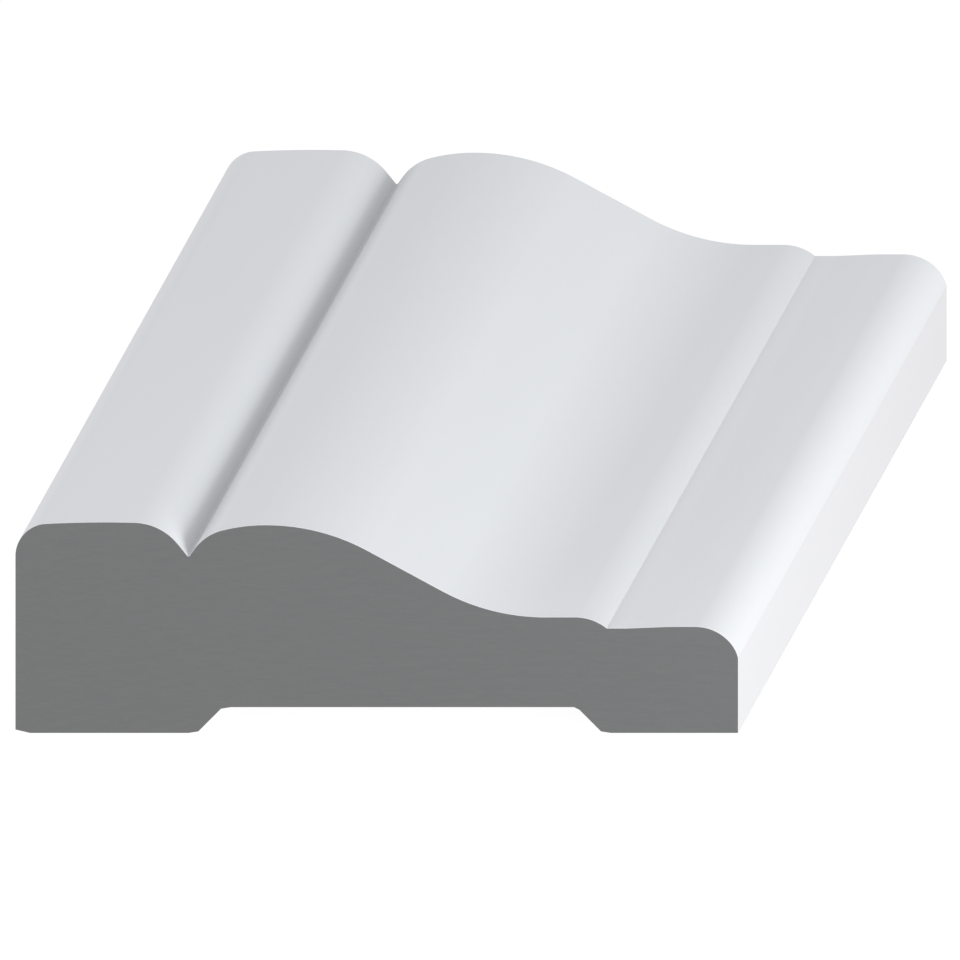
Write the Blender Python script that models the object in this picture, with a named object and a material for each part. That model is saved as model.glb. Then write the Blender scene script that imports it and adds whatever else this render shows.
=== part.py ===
"""A short length of colonial door and window casing, cut square at both ends.

The casing lies on its back: Z = 0 is the wall plane, the moulded face looks up, the thick outer edge is
at -X, the thin edge next to the opening is at +X, and the moulding runs along Y.
"""

import math

import bmesh
import bpy
from mathutils import Vector

MM = 0.001

# Driving dimensions, in millimetres, with slopes in degrees. Across means from the thick outer edge,
# and heights are above the wall plane. A slope is positive where the face rises towards the thin edge.
WIDTH = 57.15
THICKNESS = 16.67
LENGTH = 48.3

# Bead along the thick outer edge: an outer round, a nearly flat crown and an inner round.
OUTER_ROUND = 2.55
OUTER_SHOULDER_SLOPE = 2.9
BEAD_CROWN = 91.0
INNER_SHOULDER_SLOPE = -1.5
BEAD_INNER_ROUND = 4.58

# Quirk, the narrow V between the bead and the ogee.
QUIRK_OUTER_SLOPE = -50.8
QUIRK_FLANK = 1.207
QUIRK_ROUND = 0.12
QUIRK_INNER_SLOPE = 54.8

# Ogee: a lip that rises out of the quirk, a convex crown and a concave sweep, with a straight between.
OGEE_HEIGHT = 16.45
LIP_ROUND = 3.92
LIP_SLOPE = 13.9
LIP_CROWN = 14.3
OGEE_CROWN = 16.9
OGEE_SLOPE = -28.4
OGEE_SWEEP = 17.3
OGEE_FOOT_HEIGHT = 9.16

# Fillet: the flat at the ogee's foot, rounded off down to a step.
FILLET_ROUND_ACROSS = 44.25
FILLET_ROUND = 4.0
STEP_HEIGHT = 8.28

# Thin edge: a low swelling, and a round that is wider than it is tall. The round stops a little short of
# plumb, and a crease parts it from the flat side.
SWELL_ACROSS = 48.2
SWELL_HEIGHT = 8.41
SWELL_HOLLOW = 10.0
SWELL_SLOPE = 2.3
SWELL_CROWN = 29.5
EDGE_CROWN_ROUND = 3.7
EDGE_SLOPE = -48.6
EDGE_ROUND = 2.91
CREASE_SLOPE = -76.0

# Back: a wide relief between two lands, so that the casing sits flat over an uneven wall.
RELIEF_DEPTH = 2.04
RELIEF_OUTER_ACROSS = 14.35
RELIEF_INNER_ACROSS = 46.42
EASE_RUN = 0.66
EASE_RISE = 0.12
TIGHT_EASE = 0.22
BACK_ARRIS_RUN = 1.17
BACK_ARRIS_RISE = 0.27

# The largest gap between a true arc and the straight facets that stand for it.
ARC_TOLERANCE = 0.006

# Headings, as angles above level. Level runs towards the thin edge.
UPRIGHT, LEVEL = 90.0, 0.0

SMOOTH_ANGLE = 25.0
PRIMER_COLOUR = (0.78, 0.80, 0.82)
PRIMER_ROUGHNESS = 0.5
CUT_COLOUR = (0.19, 0.19, 0.19)
CUT_ROUGHNESS = 0.9


def arc_span(radius, start, end):
    """How far across and how far up an arc goes while its heading turns from one angle to another."""
    first, last = math.radians(start), math.radians(end)
    reach = math.copysign(radius, last - first)
    return reach * (math.sin(last) - math.sin(first)), reach * (math.cos(first) - math.cos(last))


class SectionPen:
    """Draws the end section as one chain of edges in the XZ plane, along straight runs and arcs."""

    def __init__(self, mesh, across, up, heading):
        self.mesh = mesh
        self.heading = heading
        self.start = mesh.verts.new(self.place(across, up))
        self.tip = self.start

    @staticmethod
    def place(across, up):
        return Vector((across - WIDTH / 2, -LENGTH / 2, up)) * MM

    @property
    def across(self):
        return self.tip.co.x / MM + WIDTH / 2

    @property
    def up(self):
        return self.tip.co.z / MM

    def line_to(self, across, up):
        """A straight run to a place."""
        run = bmesh.ops.extrude_vert_indiv(self.mesh, verts=[self.tip])
        self.tip = run["verts"][0]
        self.tip.co = self.place(across, up)

    def run(self, length):
        """A straight run ahead."""
        now = math.radians(self.heading)
        self.line_to(self.across + length * math.cos(now), self.up + length * math.sin(now))

    def run_to_height(self, up):
        """A straight run ahead, as long as it takes to reach a height."""
        self.run((up - self.up) / math.sin(math.radians(self.heading)))

    def arc(self, radius, heading):
        """A round stretch, tangent to the heading so far, that ends at the new heading."""
        now, turn = math.radians(self.heading), math.radians(heading - self.heading)
        reach = math.copysign(radius * MM, turn)
        facet = 2 * math.acos(1 - ARC_TOLERANCE / radius)
        swept = bmesh.ops.spin(
            self.mesh,
            geom=[self.tip],
            cent=self.tip.co + Vector((-math.sin(now), 0, math.cos(now))) * reach,
            axis=(0, -1, 0),
            angle=turn,
            steps=max(2, math.ceil(abs(turn) / facet)),
        )
        self.tip = next(item for item in swept["geom_last"] if isinstance(item, bmesh.types.BMVert))
        self.heading = heading

    def close(self):
        """Joins the tip to where the chain began."""
        self.mesh.edges.new((self.tip, self.start))


def draw_bead(pen):
    """The crown is drawn in two, so that a corner of the outline marks the full thickness."""
    pen.arc(OUTER_ROUND, OUTER_SHOULDER_SLOPE)
    pen.arc(BEAD_CROWN, LEVEL)
    pen.arc(BEAD_CROWN, INNER_SHOULDER_SLOPE)
    pen.arc(BEAD_INNER_ROUND, QUIRK_OUTER_SLOPE)


def draw_quirk(pen):
    pen.run(QUIRK_FLANK)
    pen.arc(QUIRK_ROUND, QUIRK_INNER_SLOPE)


def draw_ogee(pen):
    lip_rise = arc_span(LIP_ROUND, QUIRK_INNER_SLOPE, LIP_SLOPE)[1]
    crown_rise = arc_span(LIP_CROWN, LIP_SLOPE, LEVEL)[1]
    sweep_fall = arc_span(OGEE_SWEEP, OGEE_SLOPE, LEVEL)[1]
    pen.run_to_height(OGEE_HEIGHT - crown_rise - lip_rise)
    pen.arc(LIP_ROUND, LIP_SLOPE)
    pen.arc(LIP_CROWN, LEVEL)
    pen.arc(OGEE_CROWN, OGEE_SLOPE)
    pen.run_to_height(OGEE_FOOT_HEIGHT - sweep_fall)
    pen.arc(OGEE_SWEEP, LEVEL)


def draw_fillet(pen):
    """The round is steepest where it has fallen to the step."""
    step_slope = -math.degrees(math.acos(1 - (OGEE_FOOT_HEIGHT - STEP_HEIGHT) / FILLET_ROUND))
    pen.line_to(FILLET_ROUND_ACROSS, OGEE_FOOT_HEIGHT)
    pen.arc(FILLET_ROUND, step_slope)


def draw_thin_edge(pen):
    crown_run = arc_span(EDGE_CROWN_ROUND, LEVEL, EDGE_SLOPE)[0]
    round_run = arc_span(EDGE_ROUND, EDGE_SLOPE, CREASE_SLOPE)[0]
    pen.line_to(SWELL_ACROSS, STEP_HEIGHT)
    pen.heading = LEVEL
    pen.arc(SWELL_HOLLOW, SWELL_SLOPE)
    pen.run_to_height(SWELL_HEIGHT - arc_span(SWELL_CROWN, SWELL_SLOPE, LEVEL)[1])
    pen.arc(SWELL_CROWN, LEVEL)
    pen.line_to(WIDTH - round_run - crown_run, SWELL_HEIGHT)
    pen.arc(EDGE_CROWN_ROUND, EDGE_SLOPE)
    pen.arc(EDGE_ROUND, CREASE_SLOPE)
    pen.line_to(WIDTH, 0)


def draw_back(pen):
    """The relief's sides rise at 45 degrees, and each of its corners is eased by a shallow bevel."""
    inner_top = RELIEF_INNER_ACROSS - RELIEF_DEPTH
    outer_top = RELIEF_OUTER_ACROSS + RELIEF_DEPTH
    pen.line_to(RELIEF_INNER_ACROSS + EASE_RUN, 0)
    pen.line_to(RELIEF_INNER_ACROSS - EASE_RISE, EASE_RISE)
    pen.line_to(inner_top + TIGHT_EASE, RELIEF_DEPTH - TIGHT_EASE)
    pen.line_to(inner_top - TIGHT_EASE, RELIEF_DEPTH)
    pen.line_to(outer_top + EASE_RUN, RELIEF_DEPTH)
    pen.line_to(outer_top - EASE_RISE, RELIEF_DEPTH - EASE_RISE)
    pen.line_to(RELIEF_OUTER_ACROSS + EASE_RISE, EASE_RISE)
    pen.line_to(RELIEF_OUTER_ACROSS - EASE_RUN, 0)
    pen.line_to(BACK_ARRIS_RUN, 0)
    pen.line_to(0, BACK_ARRIS_RISE)


def draw_section(mesh):
    """The whole outline, starting where the thick outer side meets its round."""
    round_rise = arc_span(OUTER_ROUND, UPRIGHT, OUTER_SHOULDER_SLOPE)[1]
    crown_rise = arc_span(BEAD_CROWN, OUTER_SHOULDER_SLOPE, LEVEL)[1]
    pen = SectionPen(mesh, 0, THICKNESS - crown_rise - round_rise, UPRIGHT)
    for draw in (draw_bead, draw_quirk, draw_ogee, draw_fillet, draw_thin_edge, draw_back):
        draw(pen)
    pen.close()


def run_along(mesh):
    """Fills the section and runs it along the length."""
    section = bmesh.ops.contextual_create(mesh, geom=mesh.edges[:])["faces"]
    moved = bmesh.ops.extrude_face_region(mesh, geom=section)["geom"]
    far_end = [item for item in moved if isinstance(item, bmesh.types.BMVert)]
    bmesh.ops.translate(mesh, verts=far_end, vec=(0, LENGTH * MM, 0))
    bmesh.ops.recalc_face_normals(mesh, faces=mesh.faces[:])


def plain_material(name, colour, roughness):
    material = bpy.data.materials.new(name)
    material.use_nodes = True
    shader = material.node_tree.nodes["Principled BSDF"]
    shader.inputs["Base Color"].default_value = (*colour, 1)
    shader.inputs["Roughness"].default_value = roughness
    shader.inputs["Metallic"].default_value = 0
    return material


def make_casing():
    """White primer all along, and the bare core at both cut ends."""
    mesh = bmesh.new()
    draw_section(mesh)
    run_along(mesh)
    for face in mesh.faces:
        face.material_index = 1 if abs(face.normal.y) > 0.5 else 0
    data = bpy.data.meshes.new("casing")
    mesh.to_mesh(data)
    mesh.free()
    data.shade_smooth()
    data.set_sharp_from_angle(angle=math.radians(SMOOTH_ANGLE))
    data.materials.append(plain_material("white_primer", PRIMER_COLOUR, PRIMER_ROUGHNESS))
    data.materials.append(plain_material("cut_core", CUT_COLOUR, CUT_ROUGHNESS))
    casing = bpy.data.objects.new("casing", data)
    bpy.context.scene.collection.objects.link(casing)


def main():
    for old in list(bpy.data.objects):
        bpy.data.objects.remove(old)
    make_casing()


main()
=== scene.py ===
# %% [markdown]
# # A short length of colonial casing
#
# Casing is the moulding that frames a door or a window and hides the gap between the jamb and the wall.
# This is a sample of it, lying on its back: white primer all over, and a bare grey core where it was sawn
# through.
#
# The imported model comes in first. Its sizes are the frame that every later size is worked out from, so
# that the fine surface made here lies exactly where the plain solid does.

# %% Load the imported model
import math

import bmesh
import bpy
from mathutils import Matrix, Vector


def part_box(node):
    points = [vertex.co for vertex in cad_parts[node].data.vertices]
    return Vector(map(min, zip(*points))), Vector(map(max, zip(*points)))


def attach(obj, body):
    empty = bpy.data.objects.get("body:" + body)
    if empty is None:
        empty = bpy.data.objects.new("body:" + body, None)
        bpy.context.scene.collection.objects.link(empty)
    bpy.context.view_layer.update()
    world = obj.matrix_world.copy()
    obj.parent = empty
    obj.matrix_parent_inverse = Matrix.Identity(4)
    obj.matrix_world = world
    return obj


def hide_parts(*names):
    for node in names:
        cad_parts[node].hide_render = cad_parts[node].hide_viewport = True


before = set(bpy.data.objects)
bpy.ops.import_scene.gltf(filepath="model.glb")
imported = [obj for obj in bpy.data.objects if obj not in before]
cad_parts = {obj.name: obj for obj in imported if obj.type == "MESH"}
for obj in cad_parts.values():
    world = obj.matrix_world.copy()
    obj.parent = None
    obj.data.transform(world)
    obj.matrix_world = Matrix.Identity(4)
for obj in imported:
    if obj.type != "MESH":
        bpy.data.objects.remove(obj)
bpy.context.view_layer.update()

MM = 0.001
lowest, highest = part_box("casing")
WIDTH, LENGTH, THICKNESS = (highest - lowest) / MM
print(f"casing: {WIDTH:.2f} mm wide, {THICKNESS:.2f} mm thick, {LENGTH:.2f} mm long")

# %% [markdown]
# ## The camera
#
# The picture is an oblique drawing: the sawn end is seen square-on, with its true outline, and the length
# runs off up and to the right. No lens gives that. A camera with its picture plane upright and its line
# of sight slanting does, and an orthographic camera whose Z axis leans is just that. Rotation and scale
# can't lean an axis alone, so the lean goes into the parent inverse of a rig, as a matrix.

# %% Work out the slanting line of sight
PICTURE_PX = 960
SECTION_LEFT_PX = 15.3
SECTION_BOTTOM_PX = 733.1
SECTION_WIDTH_PX = 722.9
LENGTH_RIGHT_PX = 208.5
LENGTH_UP_PX = 372.5
CAMERA_DISTANCE = 300

pixel = WIDTH / SECTION_WIDTH_PX
lean_right = LENGTH_RIGHT_PX * pixel / LENGTH
lean_up = LENGTH_UP_PX * pixel / LENGTH
sight = Vector((lean_right, -1, lean_up)).normalized()
middle = Vector((
    -WIDTH / 2 + (PICTURE_PX / 2 - SECTION_LEFT_PX) * pixel,
    -LENGTH / 2,
    (SECTION_BOTTOM_PX - PICTURE_PX / 2) * pixel,
))
eye = (middle + sight * CAMERA_DISTANCE) * MM
print(f"line of sight {math.degrees(math.asin(sight.z)):.1f} degrees above level, {pixel:.4f} mm to a pixel")

# %% Set the camera up
camera_data = bpy.data.cameras.new("oblique_camera")
camera_data.type = "ORTHO"
camera_data.ortho_scale = PICTURE_PX * pixel * MM
camera = bpy.data.objects.new("oblique_camera", camera_data)
camera_rig = bpy.data.objects.new("oblique_rig", None)
camera.parent = camera_rig
camera.matrix_parent_inverse = Matrix((
    (1, 0, sight.x, eye.x),
    (0, 0, sight.y, eye.y),
    (0, 1, sight.z, eye.z),
    (0, 0, 0, 1),
))
for item in (camera_rig, camera):
    bpy.context.scene.collection.objects.link(item)
bpy.context.scene.camera = camera
print(f"camera: the picture is {camera_data.ortho_scale / MM:.1f} mm wide")

# %% [markdown]
# ## The floor
#
# The sample lies on a plain white sheet that is lit until it burns out. Under ordinary light a white
# floor would come out greyer than the primer, so this one glows for the camera, with a share of true
# reflection left in for a faint contact shadow. To the rest of the scene it is a light table that gives
# an even, slightly warm light from below. A Light Path node tells the two apart.


# %% Helpers for shader nodes
def node(tree, kind, inputs=None, **settings):
    """A shader node with its settings. An input is given a plain value, or another node's output."""
    made = tree.nodes.new("ShaderNode" + kind)
    for name, value in settings.items():
        setattr(made, name, value)
    for name, value in (inputs or {}).items():
        if isinstance(value, bpy.types.NodeSocket):
            tree.links.new(value, made.inputs[name])
        else:
            made.inputs[name].default_value = value
    return made


def new_material(name):
    """A material with an empty node tree."""
    material = bpy.data.materials.new(name)
    material.use_nodes = True
    material.node_tree.nodes.clear()
    return material


# %% Make the floor
FLOOR_SIZE = 8.0
FLOOR_SQUARES = 4
FLOOR_DROP = 0.00005
FLOOR_GLOW = 0.935
FLOOR_SHADE = (0.12, 0.12, 0.12, 1)
FLOOR_LIGHT = (0.525, 0.46, 0.445, 1)

floor_mesh = bmesh.new()
bmesh.ops.create_grid(floor_mesh, x_segments=FLOOR_SQUARES, y_segments=FLOOR_SQUARES, size=FLOOR_SIZE / 2)
floor_data = bpy.data.meshes.new("floor")
floor_mesh.to_mesh(floor_data)
floor_mesh.free()
floor = bpy.data.objects.new("floor", floor_data)
floor.location.z = -FLOOR_DROP
bpy.context.scene.collection.objects.link(floor)

sheet = new_material("white_sheet")
tree = sheet.node_tree
glow = node(tree, "Emission", {"Strength": FLOOR_GLOW})
shade = node(tree, "BsdfDiffuse", {"Color": FLOOR_SHADE})
table = node(tree, "Emission", {"Color": FLOOR_LIGHT, "Strength": 1.0})
seen = node(tree, "AddShader", {0: glow.outputs[0], 1: shade.outputs[0]})
ray = node(tree, "LightPath")
either = node(tree, "MixShader", {0: ray.outputs["Is Camera Ray"], 1: table.outputs[0], 2: seen.outputs[0]})
node(tree, "OutputMaterial", {"Surface": either.outputs[0]})
floor_data.materials.append(sheet)
print(f"floor: {FLOOR_SIZE:.0f} m square, {FLOOR_DROP / MM:.2f} mm below the casing's back")

# %% [markdown]
# ## The sky and the soft boxes
#
# Most of the light is an even sky, which gives the flats one tone wherever they lie. A soft box stands
# low in front on the right: faces that lean that way are the lightest, and the near end, which is closer
# to it, is lighter than the far one. It is low enough for the lip to shade the quirk, and a trace cooler
# than the sky. A weaker box on the left lights the outer bead, over which it hardly reaches the lip. The
# Standard view shows tones as they are lit.

# %% Light the sky
SKY_STRENGTH = 0.654
SKY_COLOUR = (1, 0.993, 0.994, 1)
WHITE = (1, 1, 1, 1)

world = bpy.data.worlds.new("studio_sky")
world.use_nodes = True
tree = world.node_tree
tree.nodes.clear()
sky = node(tree, "Background", {"Color": SKY_COLOUR, "Strength": SKY_STRENGTH})
backdrop = node(tree, "Background", {"Color": WHITE, "Strength": 1.0})
ray = node(tree, "LightPath")
either = node(tree, "MixShader", {0: ray.outputs["Is Camera Ray"], 1: sky.outputs[0], 2: backdrop.outputs[0]})
node(tree, "OutputWorld", {"Surface": either.outputs[0]})
bpy.context.scene.world = world
bpy.context.scene.view_settings.view_transform = "Standard"
print(f"sky: strength {SKY_STRENGTH}")


# %% Place the soft boxes
BOX_DISTANCE = 300
BOX_SIZE = 150


def soft_box(name, turn, rise, watts, colour):
    """A round lamp that faces the sample. Turn 0 is in front of the sawn end, and 90 is on the right."""
    turn, rise = math.radians(turn), math.radians(rise)
    away = Vector((math.sin(turn) * math.cos(rise), -math.cos(turn) * math.cos(rise), math.sin(rise)))
    lamp_data = bpy.data.lights.new(name, "AREA")
    lamp_data.shape = "DISK"
    lamp_data.size = BOX_SIZE * MM
    lamp_data.energy = watts
    lamp_data.color = colour
    lamp = bpy.data.objects.new(name, lamp_data)
    lamp.location = away * BOX_DISTANCE * MM
    lamp.rotation_euler = away.to_track_quat("Z", "Y").to_euler()
    lamp.visible_camera = False
    bpy.context.scene.collection.objects.link(lamp)
    print(f"{name}: {watts} W from {BOX_DISTANCE} mm away")


soft_box("right_box", turn=60, rise=12, watts=0.535, colour=(0.974, 1, 0.99))
soft_box("left_box", turn=-60, rise=20, watts=0.233, colour=(1, 0.982, 0.997))

# %% [markdown]
# ## A pen for the outline
#
# A moulder cuts casing with a steel knife that is ground to the section's outline: arcs that run into
# each other, and short flats. The outline is drawn the same way, by a pen that has a place and a heading.
# It goes straight, or swings round an arc that leaves along its heading. A Bezier curve could follow the
# same line, but an arc has a radius that can be measured on the real moulding. The pen draws in the near
# cut plane, one vertex at a time.

# %% Make the pen
ARC_TOLERANCE = 0.0003
MOST_TURN = 1.0
LEAST_STEPS = 2


class OutlinePen:
    """Draws one chain of edges. Across counts from the thick side, up from the wall, headings from level."""

    def __init__(self, across, up, heading):
        self.mesh = bmesh.new()
        self.heading = heading
        self.start = self.mesh.verts.new(self.place(across, up))
        self.tip = self.start

    @staticmethod
    def place(across, up):
        return Vector((across - WIDTH / 2, -LENGTH / 2, up)) * MM

    @property
    def across(self):
        return self.tip.co.x / MM + WIDTH / 2

    @property
    def up(self):
        return self.tip.co.z / MM

    def line_to(self, across, up):
        """A straight run to a place."""
        self.tip = bmesh.ops.extrude_vert_indiv(self.mesh, verts=[self.tip])["verts"][0]
        self.tip.co = self.place(across, up)

    def run(self, length):
        """A straight run ahead."""
        now = math.radians(self.heading)
        self.line_to(self.across + length * math.cos(now), self.up + length * math.sin(now))

    def run_to_height(self, up):
        """A straight run ahead that ends at a height."""
        self.run((up - self.up) / math.sin(math.radians(self.heading)))

    def arc(self, radius, heading):
        """A round that leaves along the heading so far and ends along a new one."""
        now = math.radians(self.heading)
        turn = math.radians(heading - self.heading)
        facet = min(2 * math.acos(1 - ARC_TOLERANCE / radius), math.radians(MOST_TURN))
        reach = math.copysign(radius * MM, turn)
        swept = bmesh.ops.spin(
            self.mesh,
            geom=[self.tip],
            cent=self.tip.co + Vector((-math.sin(now), 0, math.cos(now))) * reach,
            axis=(0, -1, 0),
            angle=turn,
            steps=max(LEAST_STEPS, math.ceil(abs(turn) / facet)),
        )
        self.tip = next(item for item in swept["geom_last"] if isinstance(item, bmesh.types.BMVert))
        self.heading = heading


def arc_span(radius, start, end):
    """How far across and how far up an arc goes while its heading turns from one angle to another."""
    first, last = math.radians(start), math.radians(end)
    reach = math.copysign(radius, last - first)
    return reach * (math.sin(last) - math.sin(first)), reach * (math.cos(first) - math.cos(last))


# %% [markdown]
# ## The bead
#
# The thick outer edge is a bead: a tight outer round, a crown that is all but flat, and a softer round
# that leans into the quirk. The line starts on the upright outer side, low enough for the rounds to end
# at full thickness.

# %% Draw the bead
UPRIGHT, LEVEL = 90.0, 0.0
OUTER_ROUND = 2.55
OUTER_SHOULDER_SLOPE = 2.9
BEAD_CROWN = 91.0
INNER_SHOULDER_SLOPE = -1.5
BEAD_INNER_ROUND = 4.58
QUIRK_OUTER_SLOPE = -50.8

round_rise = arc_span(OUTER_ROUND, UPRIGHT, OUTER_SHOULDER_SLOPE)[1]
crown_rise = arc_span(BEAD_CROWN, OUTER_SHOULDER_SLOPE, LEVEL)[1]
pen = OutlinePen(0, THICKNESS - crown_rise - round_rise, UPRIGHT)
pen.arc(OUTER_ROUND, OUTER_SHOULDER_SLOPE)
pen.arc(BEAD_CROWN, LEVEL)
pen.arc(BEAD_CROWN, INNER_SHOULDER_SLOPE)
pen.arc(BEAD_INNER_ROUND, QUIRK_OUTER_SLOPE)
print(f"bead: {pen.across:.2f} mm across to the quirk's flank, where it is {pen.up:.2f} mm up")

# %% [markdown]
# ## The quirk
#
# The quirk is the narrow V that parts the bead from the ogee. A knife can't cut a perfect V, so its
# bottom is a round, though a small one: its radius is little more than a tenth of a millimetre.

# %% Draw the quirk
QUIRK_FLANK = 1.207
QUIRK_ROUND = 0.12
QUIRK_INNER_SLOPE = 54.8

pen.run(QUIRK_FLANK)
pen.arc(QUIRK_ROUND, QUIRK_INNER_SLOPE)
print(f"quirk: {THICKNESS - pen.up:.2f} mm below the bead's crown, {pen.across:.2f} mm across")

# %% [markdown]
# ## The ogee
#
# The ogee is the S of the section: a lip that climbs out of the quirk, a convex crown, and a concave
# sweep with one straight stretch between them. The rounds are given, and so are the heights of the crown
# and the foot. The straight stretches take up whatever is left, so each one runs to the height at which
# the next round has to start.

# %% Draw the ogee
OGEE_HEIGHT = 16.45
LIP_ROUND = 3.92
LIP_SLOPE = 13.9
LIP_CROWN = 14.3
OGEE_CROWN = 16.9
OGEE_SLOPE = -28.4
OGEE_SWEEP = 17.3
OGEE_FOOT_HEIGHT = 9.16

lip_rise = arc_span(LIP_ROUND, QUIRK_INNER_SLOPE, LIP_SLOPE)[1]
lip_crown_rise = arc_span(LIP_CROWN, LIP_SLOPE, LEVEL)[1]
sweep_fall = arc_span(OGEE_SWEEP, OGEE_SLOPE, LEVEL)[1]
pen.run_to_height(OGEE_HEIGHT - lip_crown_rise - lip_rise)
pen.arc(LIP_ROUND, LIP_SLOPE)
pen.arc(LIP_CROWN, LEVEL)
print(f"ogee: crown {pen.across:.2f} mm across, {pen.up:.2f} mm up")
pen.arc(OGEE_CROWN, OGEE_SLOPE)
pen.run_to_height(OGEE_FOOT_HEIGHT - sweep_fall)
pen.arc(OGEE_SWEEP, LEVEL)
print(f"ogee: foot {pen.across:.2f} mm across, {pen.up:.2f} mm up")

# %% [markdown]
# ## The fillet and its step
#
# At the ogee's foot is a fillet, a narrow flat. It rounds off and drops to the thin edge by a step, which
# is what draws the fine line along the face there. The round's last slope is worked out from how far it
# has to fall.

# %% Draw the fillet
FILLET_ROUND_ACROSS = 44.25
FILLET_ROUND = 4.0
STEP_HEIGHT = 8.28

step_slope = -math.degrees(math.acos(1 - (OGEE_FOOT_HEIGHT - STEP_HEIGHT) / FILLET_ROUND))
pen.line_to(FILLET_ROUND_ACROSS, OGEE_FOOT_HEIGHT)
pen.arc(FILLET_ROUND, step_slope)
print(f"fillet: its round ends {pen.across:.2f} mm across at a slope of {step_slope:.1f} degrees")

# %% [markdown]
# ## The thin edge
#
# The edge beside the opening swells very slightly and turns over in a round that is wider than it is
# tall. The round stops a little short of plumb, so a fine crease parts it from the flat side. Two arcs
# make such a round, the second one tighter than the first. What has to be met here is the full width, so
# they are placed by how far across they reach, counted back from the flat side.

# %% Draw the thin edge
SWELL_ACROSS = 48.2
SWELL_HEIGHT = 8.41
SWELL_HOLLOW = 10.0
SWELL_SLOPE = 2.3
SWELL_CROWN = 29.5
EDGE_CROWN_ROUND = 3.7
EDGE_SLOPE = -48.6
EDGE_ROUND = 2.91
CREASE_SLOPE = -76.0

edge_crown_run = arc_span(EDGE_CROWN_ROUND, LEVEL, EDGE_SLOPE)[0]
edge_round_run = arc_span(EDGE_ROUND, EDGE_SLOPE, CREASE_SLOPE)[0]
pen.line_to(SWELL_ACROSS, STEP_HEIGHT)
pen.heading = LEVEL
pen.arc(SWELL_HOLLOW, SWELL_SLOPE)
pen.run_to_height(SWELL_HEIGHT - arc_span(SWELL_CROWN, SWELL_SLOPE, LEVEL)[1])
pen.arc(SWELL_CROWN, LEVEL)
pen.line_to(WIDTH - edge_round_run - edge_crown_run, SWELL_HEIGHT)
pen.arc(EDGE_CROWN_ROUND, EDGE_SLOPE)
pen.arc(EDGE_ROUND, CREASE_SLOPE)
print(f"thin edge: its round ends {pen.up:.2f} mm up the flat side")
pen.line_to(WIDTH, 0)

# %% [markdown]
# ## The back
#
# The back is relieved between two lands, so that the casing sits flat over an uneven wall. The relief's
# sides rise at 45 degrees and every corner is eased. The easing is so shallow that short straight runs
# draw it, each to a place worked out from the relief's own sizes. The line then closes up the thick outer
# side.

# %% Draw the back and close the outline
RELIEF_DEPTH = 2.04
RELIEF_OUTER_ACROSS = 14.35
RELIEF_INNER_ACROSS = 46.42
EASE_RUN = 0.66
EASE_RISE = 0.12
TIGHT_EASE = 0.22
BACK_ARRIS_RUN = 1.17
BACK_ARRIS_RISE = 0.27

inner_top = RELIEF_INNER_ACROSS - RELIEF_DEPTH
outer_top = RELIEF_OUTER_ACROSS + RELIEF_DEPTH
pen.line_to(RELIEF_INNER_ACROSS + EASE_RUN, 0)
pen.line_to(RELIEF_INNER_ACROSS - EASE_RISE, EASE_RISE)
pen.line_to(inner_top + TIGHT_EASE, RELIEF_DEPTH - TIGHT_EASE)
pen.line_to(inner_top - TIGHT_EASE, RELIEF_DEPTH)
pen.line_to(outer_top + EASE_RUN, RELIEF_DEPTH)
pen.line_to(outer_top - EASE_RISE, RELIEF_DEPTH - EASE_RISE)
pen.line_to(RELIEF_OUTER_ACROSS + EASE_RISE, EASE_RISE)
pen.line_to(RELIEF_OUTER_ACROSS - EASE_RUN, 0)
pen.line_to(BACK_ARRIS_RUN, 0)
pen.line_to(0, BACK_ARRIS_RISE)
pen.mesh.edges.new((pen.tip, pen.start))
print(f"outline: {len(pen.mesh.verts)} points")

# %% [markdown]
# ## Run it along
#
# The moulder pushes the blank past the knife, and the section runs straight through. Filling the outline
# and extruding the face does the same.

# %% Fill the section and run it along
CUBIC_CM = 1e-6

mesh = pen.mesh
section = bmesh.ops.contextual_create(mesh, geom=mesh.edges[:])["faces"]
moved = bmesh.ops.extrude_face_region(mesh, geom=section)["geom"]
far_end = [item for item in moved if isinstance(item, bmesh.types.BMVert)]
bmesh.ops.translate(mesh, verts=far_end, vec=(0, LENGTH * MM, 0))
bmesh.ops.recalc_face_normals(mesh, faces=mesh.faces[:])
print(f"run: {len(mesh.faces)} faces, {mesh.calc_volume() / CUBIC_CM:.2f} cubic centimetres")

# %% [markdown]
# ## The sawn ends
#
# A saw leaves an arris that a finger's rub takes off. It is far too small to see as a shape, but it
# catches the light as a fine line round the sawn end, so it is real geometry: a narrow bevel. Its edges
# stay sharp, because a smooth edge there would bend the shading all along the casing's length, which is a
# single row of long faces.

# %% Ease the sawn arrises
ARRIS = 0.015
END_FACING = 0.999


def sawn_faces(mesh):
    """The two flat ends."""
    return [face for face in mesh.faces if abs(face.normal.y) > END_FACING]


rims = {edge for face in sawn_faces(mesh) for edge in face.edges}
eased = bmesh.ops.bevel(
    mesh,
    geom=list(rims),
    offset=ARRIS * MM,
    offset_type="OFFSET",
    affect="EDGES",
    segments=1,
    profile=0.5,
    material=-1,
    clamp_overlap=False,
)
print(f"arris: {len(eased['faces'])} faces on {len(rims)} edges")

# %% Mark what is sharp and what is sawn
SHARP_TURN = 6.0
PRIMER_SLOT, CORE_SLOT = 0, 1

ends = sawn_faces(mesh)
for face in mesh.faces:
    face.smooth = True
    face.material_index = PRIMER_SLOT
for face in ends:
    face.material_index = CORE_SLOT
for edge in mesh.edges:
    edge.smooth = edge.calc_face_angle(0) < math.radians(SHARP_TURN)
print(f"sharp: {sum(not edge.smooth for edge in mesh.edges)} of {len(mesh.edges)} edges")

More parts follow.
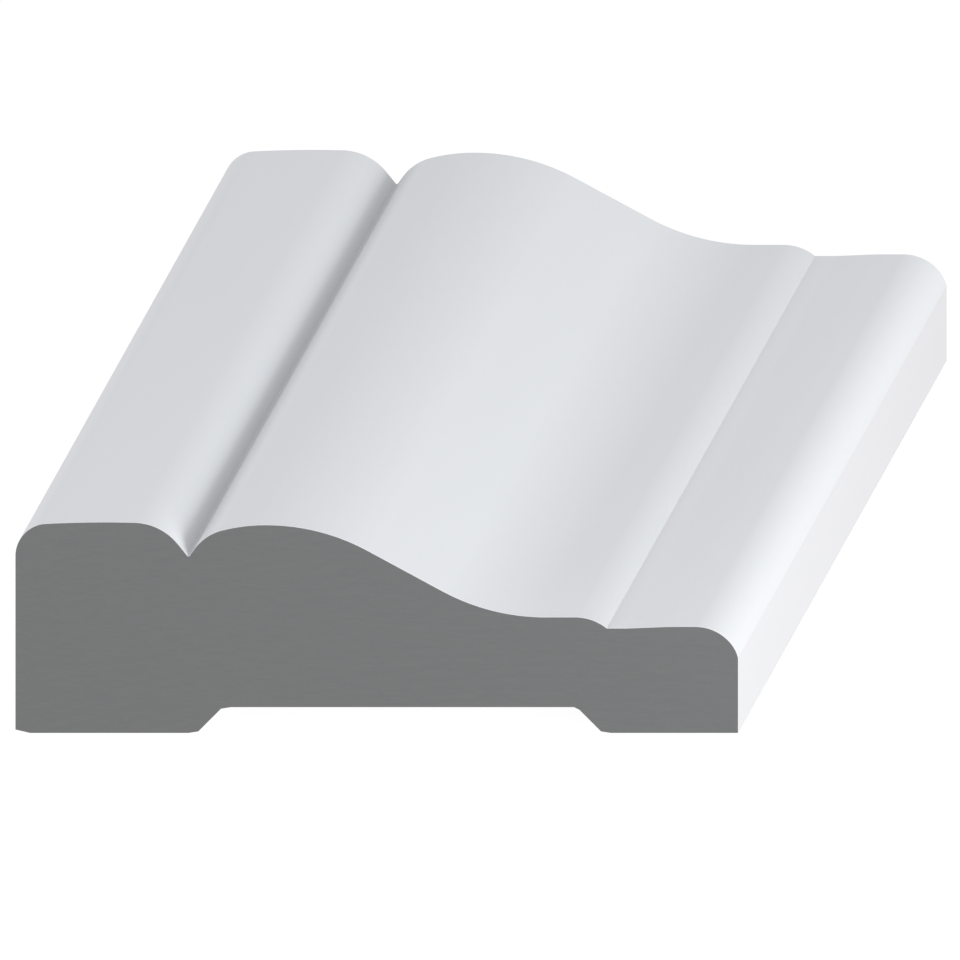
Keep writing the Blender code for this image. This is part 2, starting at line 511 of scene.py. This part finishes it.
casing_data = bpy.data.meshes.new("primed_casing")
mesh.to_mesh(casing_data)
mesh.free()
casing = bpy.data.objects.new("primed_casing", casing_data)
bpy.context.scene.collection.objects.link(casing)

# %% [markdown]
# ## Marks in the surface
#
# Both finishes carry small marks: lines that the knife draws along the length, the stipple of sprayed
# primer, the pressed fibres of the core. They are all one effect, a noise that is stretched by a
# different amount each way, so it is built once as a node group. It says how many marks there are to a
# millimetre across, along and up, and puts out a mask from 0 to 1. It reads Object coordinates, so the
# marks stay put on the moulding.

# %% Build the group for stretched marks
MARK_INPUTS = ("Across", "Along", "Up")
MARK_DETAIL = 3.0
MARK_ROUGHNESS = 0.55
MASK_FROM = 0.25
MASK_TO = 0.75

marks = bpy.data.node_groups.new("stretched_marks", "ShaderNodeTree")
for name in MARK_INPUTS:
    marks.interface.new_socket(name, in_out="INPUT", socket_type="NodeSocketFloat").default_value = 1.0
marks.interface.new_socket("Mask", in_out="OUTPUT", socket_type="NodeSocketFloat")
given = marks.nodes.new("NodeGroupInput")
place = node(marks, "TexCoord")
rate = node(marks, "CombineXYZ", {axis: given.outputs[name] for axis, name in zip("XYZ", MARK_INPUTS)})
spread = node(marks, "VectorMath", {0: place.outputs["Object"], 1: rate.outputs[0]}, operation="MULTIPLY")
in_marks = node(marks, "VectorMath", {0: spread.outputs[0], "Scale": 1 / MM}, operation="SCALE")
noise = node(marks, "TexNoise", {
    "Vector": in_marks.outputs[0],
    "Scale": 1.0,
    "Detail": MARK_DETAIL,
    "Roughness": MARK_ROUGHNESS,
})
mask = node(marks, "MapRange", {"Value": noise.outputs["Fac"], "From Min": MASK_FROM, "From Max": MASK_TO})
marks.links.new(mask.outputs[0], marks.nodes.new("NodeGroupOutput").inputs["Mask"])
print(f"stretched marks: {len(marks.nodes)} nodes")


def marks_of(tree, across, along, up):
    """The mask of marks this many to a millimetre."""
    placed = node(tree, "Group", node_tree=marks)
    for name, value in zip(MARK_INPUTS, (across, along, up)):
        placed.inputs[name].default_value = value
    return placed.outputs["Mask"]


def blend_of(tree, share, first, second):
    """The first mask and a share of the second."""
    mixed = node(tree, "Mix", {"Factor": share, "A": first, "B": second})
    return mixed.outputs["Result"]


def between(tree, mask, low, high):
    """A value that runs from low to high with the mask."""
    return node(tree, "MapRange", {"Value": mask, "To Min": low, "To Max": high}).outputs[0]


def tint_between(tree, mask, first, second):
    """A colour that runs from the first to the second with the mask."""
    mixed = node(tree, "Mix", {"Factor": mask, "A": first, "B": second}, data_type="RGBA")
    return mixed.outputs["Result"]


# %% [markdown]
# ## Measuring from a line
#
# Two effects depend on how far a place is from a line that runs along the casing: shade is painted into
# the primer's colour near the quirk and near the fillet, and the saw's arcs keep one distance from its
# spindle. So the distance is a node group too. It flattens the Object coordinates onto the section and
# measures there, in millimetres.

# %% Build the group for the distance from a line
FLATTEN = (1 / MM, 0, 1 / MM)

from_line = bpy.data.node_groups.new("distance_from_line", "ShaderNodeTree")
for name in ("Across", "Up"):
    from_line.interface.new_socket(name, in_out="INPUT", socket_type="NodeSocketFloat")
from_line.interface.new_socket("Distance", in_out="OUTPUT", socket_type="NodeSocketFloat")
given = from_line.nodes.new("NodeGroupInput")
place = node(from_line, "TexCoord")
flat = node(from_line, "VectorMath", {0: place.outputs["Object"], 1: FLATTEN}, operation="MULTIPLY")
line = node(from_line, "CombineXYZ", {"X": given.outputs["Across"], "Z": given.outputs["Up"]})
reach = node(from_line, "VectorMath", {0: flat.outputs[0], 1: line.outputs[0]}, operation="DISTANCE")
from_line.links.new(reach.outputs["Value"], from_line.nodes.new("NodeGroupOutput").inputs["Distance"])
print(f"distance from a line: {len(from_line.nodes)} nodes")


def distance_of(tree, across, up):
    """How far it is from the line at this place in the section, counted as the pen counts."""
    placed = node(tree, "Group", node_tree=from_line)
    placed.inputs["Across"].default_value = across - WIDTH / 2
    placed.inputs["Up"].default_value = up
    return placed.outputs["Distance"]


# %% [markdown]
# ## White primer
#
# The primer is sprayed on as the moulding passes, and dries to a low sheen. Close to, it isn't perfectly
# smooth: it has the stipple of the spray, about half a millimetre across, and long faint lines left by
# nicks in the knife. Its white is a little uneven too. All of this is kept very weak, because from a step
# away the face reads as clean. The lines and stipple feed a Bump node whose distance is their real
# height, a few thousandths of a millimetre.
#
# Shade is painted into the primer's colour in two places. Near the line of the quirk the colour is mixed
# towards a grey, as painted shade in the V. On the fillet's round the painted shade is stronger the more a
# face leans towards the thin edge, and the face's own Normal tells how much. Each of the two painted
# shades says where its line lies in the section, how far from it the shade is full, where it ends, and how
# strong it is at most.

# %% Mix the primer
PRIMER_DARK = (0.785, 0.805, 0.836, 1)
PRIMER_LIGHT = (0.797, 0.817, 0.848, 1)
# Painted shade: the grey that the quirk and the fillet's round are mixed towards.
PAINTED_SHADE_GREY = (0.60, 0.61, 0.62, 1)
PRIMER_RELIEF = 0.006
PRIMER_ROUGHNESS = (0.55, 0.65)
PRIMER_SPECULAR = 0.25
KNIFE_LINES = (2.2, 0.03, 2.2)
STIPPLE = (1.8, 1.8, 1.8)
CLOUDS = (0.12, 0.06, 0.12)
CLOUD_SHARE = 0.5
LINE_SHARE = 0.4
# Where shade is painted into the quirk and onto the fillet's round.
QUIRK_PAINTED_SHADE = {"across": 14.55, "up": 14.3, "full": 1.0, "reach": 2.1, "most": 0.48}
FILLET_PAINTED_SHADE = {"across": 46.4, "up": 8.85, "full": 2.5, "reach": 4.0, "most": 0.38}
STEEPEST_LEAN = 0.6


def painted_shade_near_line(tree, shade):
    """A mask of painted shade that is most at a line along the casing, and nothing past its reach."""
    away = distance_of(tree, shade["across"], shade["up"])
    limits = {"Value": away, "From Min": shade["reach"], "From Max": shade["full"], "To Max": shade["most"]}
    return node(tree, "MapRange", limits, interpolation_type="SMOOTHSTEP").outputs[0]


def lean(tree):
    """A mask that grows with the sine of a face's slope down towards the thin edge, for painted shade."""
    facing = node(tree, "SeparateXYZ", {0: node(tree, "TexCoord").outputs["Normal"]})
    return node(tree, "MapRange", {"Value": facing.outputs["X"], "From Max": STEEPEST_LEAN}).outputs[0]


primer = new_material("white_primer")
tree = primer.node_tree
knife_lines = marks_of(tree, *KNIFE_LINES)
stipple = marks_of(tree, *STIPPLE)
clouds = marks_of(tree, *CLOUDS)
colour = tint_between(tree, blend_of(tree, CLOUD_SHARE, knife_lines, clouds), PRIMER_DARK, PRIMER_LIGHT)
# Painted shade on the fillet's round, stronger the more a face leans towards the thin edge.
fillet_painted_shade = node(tree, "Math", {0: painted_shade_near_line(tree, FILLET_PAINTED_SHADE), 1: lean(tree)}, operation="MULTIPLY")
# Shade painted into the colour: grey near the quirk's line, and on the fillet's round as it leans.
for thin in (painted_shade_near_line(tree, QUIRK_PAINTED_SHADE), fillet_painted_shade.outputs[0]):
    colour = tint_between(tree, thin, colour, PAINTED_SHADE_GREY)
height = blend_of(tree, LINE_SHARE, stipple, knife_lines)
relief = node(tree, "Bump", {"Strength": 1.0, "Distance": PRIMER_RELIEF * MM, "Height": height})
shader = node(tree, "BsdfPrincipled", {
    "Base Color": colour,
    "Roughness": between(tree, stipple, *PRIMER_ROUGHNESS),
    "Specular IOR Level": PRIMER_SPECULAR,
    "Normal": relief.outputs[0],
})
node(tree, "OutputMaterial", {"Surface": shader.outputs[0]})
print(f"primer: {len(tree.nodes)} nodes, relief {PRIMER_RELIEF} mm")

# %% [markdown]
# ## The sawn core
#
# The core is a grey board of pressed fibre. Across the cut its fibres show as short level streaks with
# specks between them, and the saw's teeth leave shallow arcs that share one far-off centre, the saw's
# spindle. The arcs are a sine of the distance from that centre.

# %% Mix the core
CORE_DARK = (0.174, 0.184, 0.188, 1)
CORE_LIGHT = (0.192, 0.202, 0.206, 1)
CORE_RELIEF = 0.02
CORE_ROUGHNESS = (0.85, 0.95)
FIBRES = (0.8, 4.0, 4.5)
SPECKS = (3.0, 3.0, 3.0)
SPECK_SHARE = 0.4
TOOTH_SHARE = 0.3
SAW_RADIUS = 125
SPINDLE_ACROSS = 43
SAW_PITCH = 0.9

core = new_material("sawn_core")
tree = core.node_tree
fibres = marks_of(tree, *FIBRES)
specks = marks_of(tree, *SPECKS)
from_spindle = distance_of(tree, SPINDLE_ACROSS, -SAW_RADIUS)
turns = node(tree, "Math", {0: from_spindle, 1: 2 * math.pi / SAW_PITCH}, operation="MULTIPLY")
tooth = node(tree, "Math", {0: turns.outputs[0]}, operation="SINE")
teeth = node(tree, "MapRange", {"Value": tooth.outputs[0], "From Min": -1.0, "From Max": 1.0}).outputs[0]
fibre_mask = blend_of(tree, SPECK_SHARE, fibres, specks)
colour = tint_between(tree, fibre_mask, CORE_DARK, CORE_LIGHT)
relief = node(tree, "Bump", {
    "Strength": 1.0,
    "Distance": CORE_RELIEF * MM,
    "Height": blend_of(tree, TOOTH_SHARE, fibre_mask, teeth),
})
shader = node(tree, "BsdfPrincipled", {
    "Base Color": colour,
    "Roughness": between(tree, specks, *CORE_ROUGHNESS),
    "Normal": relief.outputs[0],
})
node(tree, "OutputMaterial", {"Surface": shader.outputs[0]})
print(f"core: {len(tree.nodes)} nodes, relief {CORE_RELIEF} mm")

# %% Put both on, in the order of their slots
for finish in (primer, core):
    casing_data.materials.append(finish)
print(f"casing: {len(casing_data.materials)} finishes")

# %% [markdown]
# ## Onto the frame
#
# The finished piece stands for the plain solid and moves with the model's one body. Its finish is the
# record's white primer.

# %% Put it on its body
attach(casing, "root")
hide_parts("casing")
